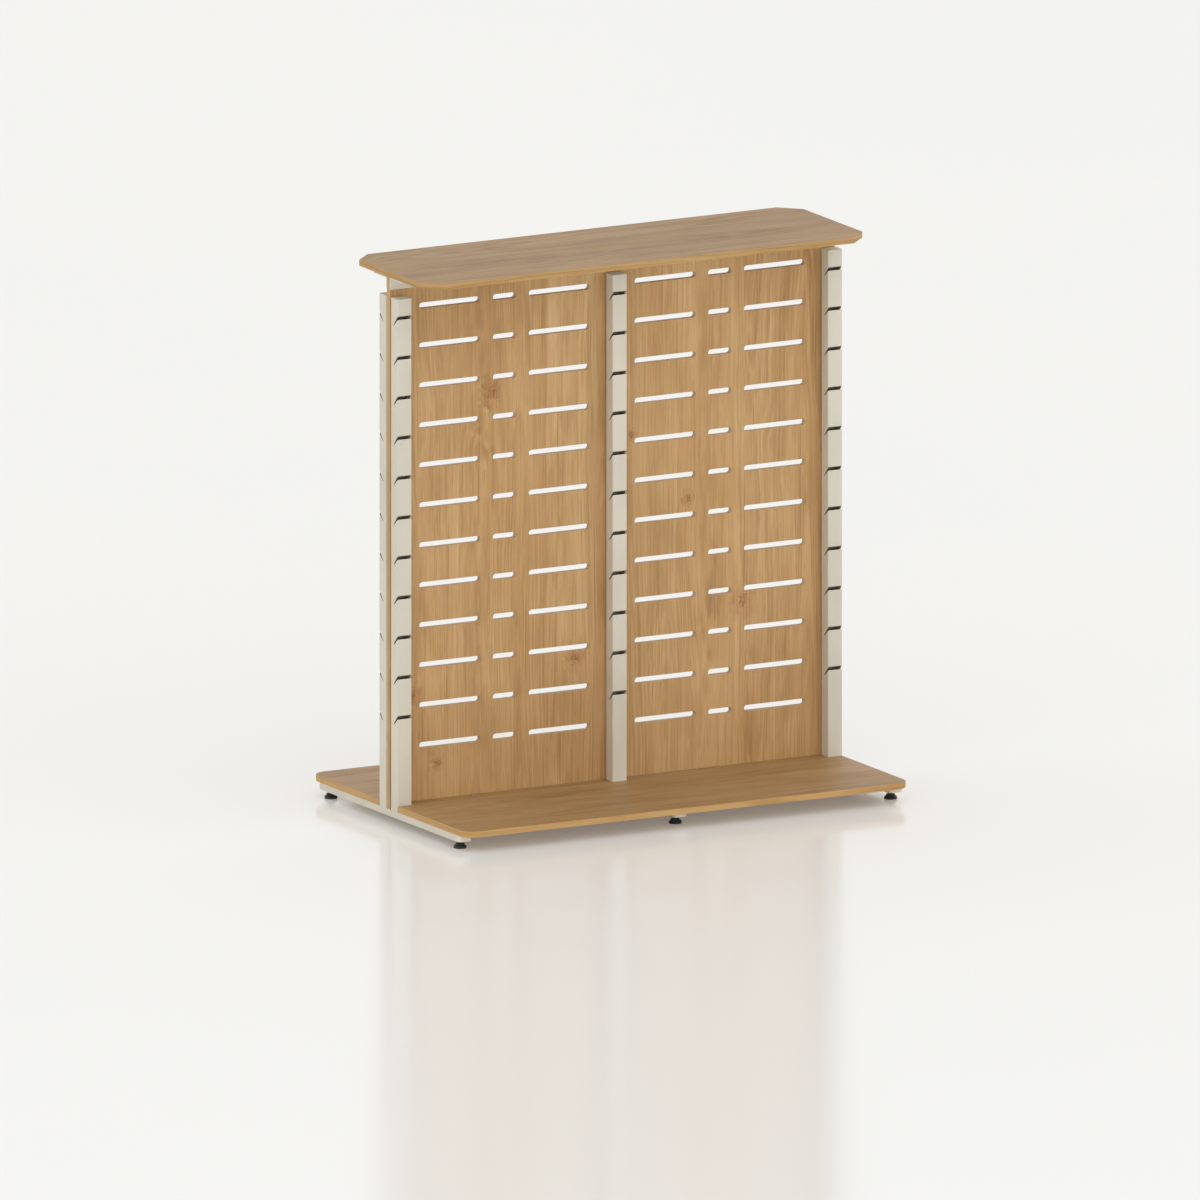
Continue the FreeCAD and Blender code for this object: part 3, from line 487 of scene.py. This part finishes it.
# Black moulded plastic and blackened steel of the feet
def black_skin(name, colour, grain, gloss, metal):
    finish, tree, surface, place = new_finish(name)
    leather = speckle(tree, place, (grain, grain, grain), LEATHER_DETAIL, LEATHER_ROUGHNESS)
    scuffs = speckle(tree, place, **SCUFFS)
    worn = tuple(part * SCUFF_PALER + SCUFF_DUST for part in colour)
    lay(
        tree,
        surface,
        Base_Color=tones(tree, scuffs, list(zip(SCUFFS_SHOWN, (colour, worn)))),
        Roughness=spread(tree, leather, *MOST, gloss + LEATHER_GLOSSIER, gloss + LEATHER_DULLER),
        Metallic=metal,
        Normal=relief(tree, leather, *LEATHER_RELIEF),
    )
    return finish


# Zinc: cloudy tones, and fine marks of turning
ZINC_CLOUDS = {"stretch": (160.0, 160.0, 160.0), "detail": 3.0, "roughness": 0.6}
ZINC_TURNING = {"stretch": (600.0, 600.0, 3000.0), "roughness": 0.6}
ZINC_TONES = ((0.3, (0.5, 0.5, 0.48)), (0.55, (0.63, 0.64, 0.65)), (0.75, (0.7, 0.67, 0.58)))
ZINC_ROUGHNESS = (0.24, 0.42)
ZINC_RELIEF = (0.00005, 0.3)


# Zinc plate of bolts, nuts and screws: bright, with cloudy passivation
def zinc_plate(name):
    finish, tree, surface, place = new_finish(name)
    turning = speckle(tree, place, **ZINC_TURNING)
    lay(
        tree,
        surface,
        Base_Color=tones(tree, speckle(tree, place, **ZINC_CLOUDS), ZINC_TONES),
        Roughness=spread(tree, turning, *MOST, *ZINC_ROUGHNESS),
        Metallic=1.0,
        Normal=relief(tree, turning, *ZINC_RELIEF),
    )
    return finish


# Lit and shaded copies of one oak foil: the top board and the shelves take darker tones than the panels, as
# painted shade on their lying faces, and the shelves' edge band is paler than the top board's, as painted
# light
oak_upright = oak_foil(
    "oak_foil_upright",
    "up",
    wood=((0.377, 0.214, 0.083), (0.536, 0.324, 0.139), (0.656, 0.431, 0.207)),
    sheen=0.3,
    shift=(0.05, 0.0, 0.0),
    knots=PANEL_KNOTS,
    core=True,
)
oak_top_painted_shade = oak_foil(
    "oak_foil_top_painted_shade",
    "lengthwise",
    wood=((0.27, 0.158, 0.064), (0.39, 0.24, 0.106), (0.482, 0.312, 0.152)),
    sheen=0.4,
    shift=(0.4, 0.7, 0.0),
)
oak_shelf_painted_shade = oak_foil(
    "oak_foil_shelf_painted_shade",
    "lengthwise",
    wood=((0.292, 0.173, 0.071), (0.424, 0.263, 0.117), (0.523, 0.341, 0.166)),
    sheen=0.4,
    shift=(0.4, 0.7, 0.0),
    underside=(0.56, 0.35, 0.165),
)
band_upright = oak_foil(
    "oak_band_upright",
    "up",
    wood=((0.425, 0.237, 0.096), (0.578, 0.342, 0.143), (0.675, 0.437, 0.20)),
    sheen=0.2,
    shift=(2.1, 0.3, 0.0),
)
band_top = oak_foil(
    "oak_band_top",
    "round",
    wood=((0.36, 0.20, 0.072), (0.49, 0.30, 0.117), (0.595, 0.39, 0.176)),
    sheen=0.2,
    shift=(1.3, 2.2, 0.0),
)
band_shelf_painted_light = oak_foil(
    "oak_band_shelf",
    "round",
    wood=((0.40, 0.22, 0.079), (0.545, 0.328, 0.127), (0.655, 0.425, 0.19)),
    sheen=0.2,
    shift=(3.1, 1.2, 0.0),
)
BEIGE = (0.668, 0.617, 0.505)
coat = powder_coat("beige_powder_coat", BEIGE, peel=650.0, gloss=0.5)
post_coat_painted_shade = powder_coat("beige_post_coat", BEIGE, peel=650.0, gloss=0.5, hollow=True)
cap_plastic = powder_coat("beige_cap_plastic", (0.64, 0.59, 0.485), peel=1400.0, gloss=0.55)
tip_plastic = powder_coat("beige_tip_plastic", (0.74, 0.665, 0.555), peel=1400.0, gloss=0.55)
pad_plastic = black_skin("black_pad_plastic", (0.014, 0.014, 0.015), grain=2200.0, gloss=0.48, metal=0.0)
stud_steel = black_skin("black_stud_steel", (0.02, 0.02, 0.022), grain=1500.0, gloss=0.36, metal=0.6)
zinc = zinc_plate("zinc_plate")

# Finish of each kind of piece, by the end of its name. The first that fits is taken, or else zinc
FINISHES = (
    ("_panel_edge_band", band_upright),
    ("top_board_edge_band", band_top),
    ("_base_shelf_edge_band", band_shelf_painted_light),
    ("_panel", oak_upright),
    ("top_board", oak_top_painted_shade),
    ("_base_shelf", oak_shelf_painted_shade),
    ("_post", post_coat_painted_shade),
    ("_top_rail", coat),
    ("_foot_bar", coat),
    ("_bar_end_cap", tip_plastic),
    ("_post_cap", cap_plastic),
    ("_spacer_strip", cap_plastic),
    ("_foot_pad", pad_plastic),
    ("_foot_stud", stud_steel),
)


def finish_for(node):
    for ending, finish in FINISHES:
        if node.endswith(ending):
            return finish
    return zinc


for name, piece in nodes.items():
    piece.data.materials.clear()
    piece.data.materials.append(finish_for(name))

# Fittings are modelled about the Z axis with their seat at height nought, and then set in their places
ROUND = 24
HEXAGON = 6
HEXAGON_CUTS = ROUND // HEXAGON - 1
MERGE = 0.001
SHARP_ANGLE = 35.0
QUARTER_TURN = 90
HALF_TURN = 180

# Rail nut: radius at its corners, bore, height, and the chamfer that narrows its end
NUT_CORNER = 5.7735
NUT_BORE = 3.05
NUT_HEIGHT = 5.0
NUT_CHAMFER = 0.5
NUT_NARROWED = 0.93

# Rail bolt: radii of socket, flat face and shank, the head's height and dome as (radius, step), its point
BOLT_SOCKET = 2.31
BOLT_SOCKET_DEPTH = 2.0
BOLT_FACE = 3.0
BOLT_SHANK = 3.0
BOLT_HEAD = 3.3
BOLT_DOME = ((4.2, -0.5), (5.1, -0.9), (5.5, -1.0), (5.5, -0.9))
BOLT_TAIL = 1.5
BOLT_LENGTH = 2 * RAIL_FACE + NUT_HEIGHT + BOLT_TAIL
BOLT_POINT = 0.7
BOLT_POINT_RADIUS = 2.4

# Screws of the top board and of the shelves
TOP_SCREW = {"head": 8.0, "rise": 2.5, "shank": 4.0, "length": 13.0}
SHELF_SCREW = {"head": 9.0, "rise": 3.0, "shank": 4.5, "length": 27.0}

# Cross recess and flat face of a screw, as shares of the head's width, and the recess's share of its height
CROSS_REACH = 0.27
CROSS_ARM = 0.1
CROSS_NARROWED = 0.7
CROSS_DEPTH = 0.6
PAN_FACE = 0.34

# Pan head's corners, as shares of its radius and height, and shares of length and width at a screw's point
PAN_HEAD = ((0.93, -0.25), (1.0, -0.3), (1.0, -0.45))
SCREW_STRAIGHT = 0.8
SCREW_TAPER = 0.2
SCREW_POINT = 0.2

# Stud of a foot: collar with its chamfer as (radius, step), pivot below it, and length above it
COLLAR_CORNER = 10.97
COLLAR_HEIGHT = 5.5
COLLAR_PROFILE = ((COLLAR_CORNER, 4.5), (10.6, 0.7), (9.4, 0.3))
PIVOT = 5.0
PIVOT_PROFILE = ((PIVOT, -4.0), (4.4, -0.5))
STUD_LENGTH = 17.5

# Thread of the stud: one turn's flanks as (radius, height), begun inside the collar and cut off at both ends
THREAD_PITCH = 1.25
THREAD_TURNS = 17
THREAD_STEPS = 20
THREAD_START = 4.0
THREAD_FLANKS = ((3.35, 0.0), (3.35, 0.16), (4.0, 0.55), (4.0, 0.7), (3.35, 1.09), (3.35, THREAD_PITCH))


def carry_rim(shape, rim, widen, climb):
    """Extrudes an open rim, widens it about the axis and moves it along the axis."""
    grown = bmesh.ops.extrude_edge_only(shape, edges=rim)["geom"]
    corners = [part for part in grown if isinstance(part, bmesh.types.BMVert)]
    bmesh.ops.scale(shape, vec=(widen, widen, 1.0), verts=corners)
    bmesh.ops.translate(shape, vec=(0.0, 0.0, climb * MM), verts=corners)
    edges = [part for part in grown if isinstance(part, bmesh.types.BMEdge)]
    return [edge for edge in edges if set(edge.verts) <= set(corners)]


def ring(shape, radius, height, segments=ROUND, cuts=0):
    """An open loop of edges round the axis."""
    known = set(shape.edges)
    level = Matrix.Translation((0.0, 0.0, height * MM))
    bmesh.ops.create_circle(shape, segments=segments, radius=radius * MM, matrix=level)
    if cuts:
        bmesh.ops.subdivide_edges(shape, edges=list(set(shape.edges) - known), cuts=cuts)
    return list(set(shape.edges) - known)


def lathe(shape, rim, radius, corners):
    """Carries a rim of that radius through corners of (radius, step along the axis), and closes the end."""
    for next_radius, climb in corners:
        rim = carry_rim(shape, rim, next_radius / radius, climb)
        radius = next_radius
    bmesh.ops.edgeloop_fill(shape, edges=rim)


def model_bolt(shape):
    """Button-head bolt with a hexagon socket."""
    socket = ring(shape, BOLT_SOCKET, BOLT_HEAD, HEXAGON, HEXAGON_CUTS)
    rim = ring(shape, BOLT_FACE, BOLT_HEAD)
    bmesh.ops.bridge_loops(shape, edges=socket + rim)
    lathe(shape, socket, BOLT_SOCKET, ((BOLT_SOCKET, -BOLT_SOCKET_DEPTH),))
    shank = ((BOLT_SHANK, 0.0), (BOLT_SHANK, BOLT_POINT - BOLT_LENGTH), (BOLT_POINT_RADIUS, -BOLT_POINT))
    lathe(shape, rim, BOLT_FACE, BOLT_DOME + shank)


def model_nut(shape):
    """Hexagon nut, bored through."""
    sides = ring(shape, NUT_CORNER, 0.0, HEXAGON, HEXAGON_CUTS)
    bore = ring(shape, NUT_BORE, 0.0)
    bmesh.ops.bridge_loops(shape, edges=sides + bore)
    sides = carry_rim(shape, sides, 1.0, NUT_HEIGHT - NUT_CHAMFER)
    sides = carry_rim(shape, sides, NUT_NARROWED, NUT_CHAMFER)
    bore = carry_rim(shape, bore, 1.0, NUT_HEIGHT)
    bmesh.ops.bridge_loops(shape, edges=sides + bore)


def model_screw(shape, head, rise, shank, length):
    """Pan-head screw with a cross recess."""
    bmesh.ops.create_grid(shape, x_segments=3, y_segments=3, size=CROSS_REACH * head * MM)
    arm = CROSS_ARM * head * MM
    corners = [face for face in shape.faces if min(map(abs, face.calc_center_median().xy)) > arm]
    bmesh.ops.delete(shape, geom=corners, context="FACES")
    bmesh.ops.translate(shape, vec=(0.0, 0.0, rise * MM), verts=shape.verts)
    bmesh.ops.subdivide_edges(shape, edges=[edge for edge in shape.edges if edge.is_boundary], cuts=1)
    border = [edge for edge in shape.edges if edge.is_boundary]
    cross = list(shape.faces)
    face_radius = PAN_FACE * head
    rim = ring(shape, face_radius, rise)
    bmesh.ops.bridge_loops(shape, edges=border + rim)
    sunk = bmesh.ops.extrude_face_region(shape, geom=cross)["geom"]
    bmesh.ops.delete(shape, geom=cross, context="FACES")
    floor = [part for part in sunk if isinstance(part, bmesh.types.BMVert)]
    bmesh.ops.scale(shape, vec=(CROSS_NARROWED, CROSS_NARROWED, 1.0), verts=floor)
    bmesh.ops.translate(shape, vec=(0.0, 0.0, -CROSS_DEPTH * rise * MM), verts=floor)
    profile = [(width * head / 2, step * rise) for width, step in PAN_HEAD]
    profile += [(shank / 2, 0.0), (shank / 2, -SCREW_STRAIGHT * length)]
    profile += [(SCREW_POINT * shank, -SCREW_TAPER * length)]
    lathe(shape, rim, face_radius, profile)


def wind_thread(shape):
    """Winds one turn's flanks up the stud, and cuts the thread off at the collar and at the stud's end."""
    corners = []
    for radius, height in THREAD_FLANKS:
        corners.append(shape.verts.new((radius * MM, 0.0, (THREAD_START + height) * MM)))
    edges = [shape.edges.new(pair) for pair in zip(corners, corners[1:])]
    bmesh.ops.spin(
        shape,
        geom=corners + edges,
        axis=(0.0, 0.0, 1.0),
        cent=(0.0, 0.0, 0.0),
        dvec=(0.0, 0.0, THREAD_PITCH * MM / THREAD_STEPS),
        angle=2.0 * math.pi * THREAD_TURNS,
        steps=THREAD_STEPS * THREAD_TURNS,
    )
    bmesh.ops.remove_doubles(shape, verts=shape.verts, dist=MERGE * MM)
    for height, side in ((COLLAR_HEIGHT, 1.0), (COLLAR_HEIGHT + STUD_LENGTH, -1.0)):
        bmesh.ops.bisect_plane(
            shape,
            geom=[*shape.verts, *shape.edges, *shape.faces],
            plane_co=(0.0, 0.0, height * MM),
            plane_no=(0.0, 0.0, side),
            clear_inner=True,
        )
    bmesh.ops.holes_fill(shape, edges=[edge for edge in shape.edges if edge.is_boundary], sides=0)


def model_stud(shape):
    """Threaded stud with a chamfered hexagon collar and a pivot. Its seat is the pad's upper face."""
    wind_thread(shape)
    collar = ring(shape, COLLAR_CORNER, 0.0, HEXAGON)
    bmesh.ops.edgeloop_fill(shape, edges=collar)
    lathe(shape, collar, COLLAR_CORNER, COLLAR_PROFILE)
    pivot = ring(shape, PIVOT, 0.0)
    bmesh.ops.edgeloop_fill(shape, edges=pivot)
    lathe(shape, pivot, PIVOT, PIVOT_PROFILE)


def set_in_places(name, model, places, finish, body, node, slot, **sizes):
    """Makes a piece of one modelled shape, repeated at each place, and puts it in a CAD node's stead."""
    pattern = bmesh.new()
    model(pattern, **sizes)
    bmesh.ops.remove_doubles(pattern, verts=pattern.verts, dist=MERGE * MM)
    bmesh.ops.recalc_face_normals(pattern, faces=pattern.faces)
    mesh = bpy.data.meshes.new(name)
    pattern.to_mesh(mesh)
    pattern.free()
    shape = bmesh.new()
    for place in places:
        known = len(shape.verts)
        shape.from_mesh(mesh)
        shape.verts.ensure_lookup_table()
        bmesh.ops.transform(shape, matrix=place, verts=shape.verts[known:])
    shape.to_mesh(mesh)
    shape.free()
    mesh.materials.append(finish)
    mesh.shade_smooth()
    mesh.set_sharp_from_angle(angle=math.radians(SHARP_ANGLE))
    piece = bpy.data.objects.new(name, mesh)
    bpy.context.scene.collection.objects.link(piece)
    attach(piece, body)
    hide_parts(node)


def at(x, y, z, turn=0.0):
    """Place in millimetres, turned about the X axis by degrees."""
    return Matrix.Translation((x * MM, y * MM, z * MM)) @ Matrix.Rotation(math.radians(turn), 4, "X")


bolt_spots = [way * POST_PITCH / 2 + step * BOLT_PITCH for way in BAYS.values() for step in (-1, 0, 1)]
bolt_height = PANEL_TOP - BOLT_DROP
bolts = [at(x, -RAIL_FACE, bolt_height, QUARTER_TURN) for x in bolt_spots]
nuts = [at(x, RAIL_FACE, bolt_height, -QUARTER_TURN) for x in bolt_spots]
top_screws = [
    at(step * TOP_SCREW_PITCH / 2, y, PANEL_TOP - RAIL_SHEET, HALF_TURN)
    for step in (-3, -1, 1, 3)
    for y in (-TOP_SCREW_LINE, TOP_SCREW_LINE)
]
shelf_screws = [
    at(x_way * POST_PITCH, y, BAR_UNDERSIDE, HALF_TURN)
    for x_way in COLUMNS.values()
    for y in (-SHELF_SCREW_OUTER, -SHELF_SCREW_INNER, SHELF_SCREW_INNER, SHELF_SCREW_OUTER)
]

for name, model, places, node, sizes in (
    ("button_head_bolts", model_bolt, bolts, "rail_bolts", {}),
    ("hexagon_nuts", model_nut, nuts, "rail_nuts", {}),
    ("top_pan_screws", model_screw, top_screws, "top_board_screws", TOP_SCREW),
    ("shelf_pan_screws", model_screw, shelf_screws, "base_shelf_screws", SHELF_SCREW),
):
    set_in_places(name, model, places, zinc, "frame", node, "zinc_steel", **sizes)
for column, x_way in COLUMNS.items():
    for side, y_way in SIDES.items():
        foot = f"{column}_{side}"
        spot = at(x_way * POST_PITCH, y_way * FOOT_LINE, PAD_HEIGHT)
        set_in_places(
            f"{foot}_threaded_stud",
            model_stud,
            [spot],
            stud_steel,
            f"{foot}_stud",
            f"{foot}_foot_stud",
            "black_steel",
        )

# Studio, in metres: half a side of the floor, its cloudy tones and its gloss
FLOOR_HALF = 30.0
FLOOR_CLOUDS = {"stretch": (0.5, 0.5, 0.5)}
# The floor's tones are a little cool, to offset the painted warm light of the lift where the floor is lit
FLOOR_TONES = ((0.3, (0.948, 0.988, 0.995)), (0.7, (0.965, 1.0, 1.0)))
FLOOR_ROUGHNESS = 0.14
FLOOR_IOR = 1.46

# Plain warm white that lifts the floor and its shadows where they are seen. In the shadows this is painted
# light, and its warmth stands in for warm light thrown from the wood
LIFT_SHARE = 0.17
LIFT_COLOUR = (1.0, 0.87, 0.75, 1.0)

# Even light, from the horizon up to a height where it is weakest, and the wall that is seen in its stead
WHITE = (1.0, 1.0, 1.0, 1.0)
GLOW_TOP = 0.4
GLOW_AT_HORIZON = 1.3
GLOW_ABOVE = 0.85
WALL_COLOUR = (1.0, 0.995, 0.98, 1.0)
WALL_IN_MIRRORS = 0.97
WALL_IN_VIEW = 0.895

# Soft boxes: name, place, size and power in watts, all turned to one point
SOFT_BOX_AIM = (0.0, 0.0, 0.7)
SOFT_BOXES = (
    ("soft_box_front_left", (-6.5, -13.0, 1.7), (8.0, 3.2), 200.0),
    ("soft_box_front_right", (7.0, -13.0, 1.7), (7.0, 3.2), 125.0),
    ("soft_box_left_end", (-9.0, 1.0, 2.0), (5.0, 3.4), 25.0),
)

# Parallel camera of the photograph: angles in degrees, width of its view, middle, distance and far end
VIEW_AZIMUTH = -28.6
VIEW_ELEVATION = 12.11
VIEW_WIDTH = 2.9366
VIEW_MIDDLE = (-0.030, 0.0, 0.4993)
VIEW_DISTANCE = 8.0
VIEW_END = 100.0


def seen_directly(tree):
    """One for rays from the camera, mirrors and glass, nought for rays that carry light."""
    path = add(tree, "ShaderNodeLightPath").outputs
    mirrored = number(tree, "MAXIMUM", path["Is Glossy Ray"], path["Is Transmission Ray"])
    return number(tree, "MAXIMUM", path["Is Camera Ray"], mirrored)


def floor_finish():
    finish, tree, surface, place = new_finish("pale_floor")
    lay(
        tree,
        surface,
        Base_Color=tones(tree, speckle(tree, place, **FLOOR_CLOUDS), FLOOR_TONES),
        Roughness=FLOOR_ROUGHNESS,
        IOR=FLOOR_IOR,
    )
    white = add(tree, "ShaderNodeEmission", {"Color": LIFT_COLOUR, "Strength": 1.0})
    share = times(tree, seen_directly(tree), LIFT_SHARE)
    lifted = add(tree, "ShaderNodeMixShader", {0: share, 1: surface.outputs[0], 2: white.outputs[0]})
    tree.links.new(lifted.outputs[0], tree.get_output_node("ALL").inputs["Surface"])
    return finish


def make_floor():
    shape = bmesh.new()
    bmesh.ops.create_grid(shape, x_segments=1, y_segments=1, size=FLOOR_HALF)
    mesh = bpy.data.meshes.new("floor")
    shape.to_mesh(mesh)
    shape.free()
    mesh.materials.append(floor_finish())
    floor = bpy.data.objects.new("floor", mesh)
    bpy.context.scene.collection.objects.link(floor)


def make_world():
    world = bpy.data.worlds.new("studio")
    world.use_nodes = True
    tree = world.node_tree
    tree.nodes.clear()
    direction = add(tree, "ShaderNodeTexCoord").outputs["Generated"]
    height = parts_of(tree, direction)[2]
    glow = spread(tree, height, 0.0, GLOW_TOP, GLOW_AT_HORIZON, GLOW_ABOVE)
    even_light = add(tree, "ShaderNodeBackground", {"Color": WHITE, "Strength": glow})
    # The wall is as bright as the floor where the camera sees it, and a little brighter in mirrors
    seen = add(tree, "ShaderNodeLightPath").outputs["Is Camera Ray"]
    brightness = spread(tree, seen, 0.0, 1.0, WALL_IN_MIRRORS, WALL_IN_VIEW)
    wall = add(tree, "ShaderNodeBackground", {"Color": WALL_COLOUR, "Strength": brightness})
    shaders = {0: seen_directly(tree), 1: even_light.outputs[0], 2: wall.outputs[0]}
    blend = add(tree, "ShaderNodeMixShader", shaders)
    add(tree, "ShaderNodeOutputWorld", {"Surface": blend.outputs[0]})
    bpy.context.scene.world = world


def make_soft_box(name, place, size, power):
    """A lamp that lights the stand, and isn't itself mirrored in the floor."""
    lamp = bpy.data.lights.new(name, "AREA")
    lamp.shape = "RECTANGLE"
    lamp.size, lamp.size_y = size
    lamp.energy = power
    box = bpy.data.objects.new(name, lamp)
    box.location = place
    box.rotation_euler = (Vector(SOFT_BOX_AIM) - Vector(place)).to_track_quat("-Z", "Y").to_euler()
    box.visible_glossy = False
    bpy.context.scene.collection.objects.link(box)


def make_camera():
    azimuth = math.radians(VIEW_AZIMUTH)
    elevation = math.radians(VIEW_ELEVATION)
    level = math.cos(elevation)
    towards = Vector((math.sin(azimuth) * level, -math.cos(azimuth) * level, math.sin(elevation)))
    view = bpy.data.cameras.new("photo_view")
    view.type = "ORTHO"
    view.ortho_scale = VIEW_WIDTH
    view.clip_end = VIEW_END
    camera = bpy.data.objects.new("photo_view", view)
    camera.location = Vector(VIEW_MIDDLE) + towards * VIEW_DISTANCE
    camera.rotation_euler = (-towards).to_track_quat("-Z", "Y").to_euler()
    bpy.context.scene.collection.objects.link(camera)
    bpy.context.scene.camera = camera


make_floor()
make_world()
for soft_box in SOFT_BOXES:
    make_soft_box(*soft_box)
make_camera()
bpy.context.scene.view_settings.view_transform = "Standard"
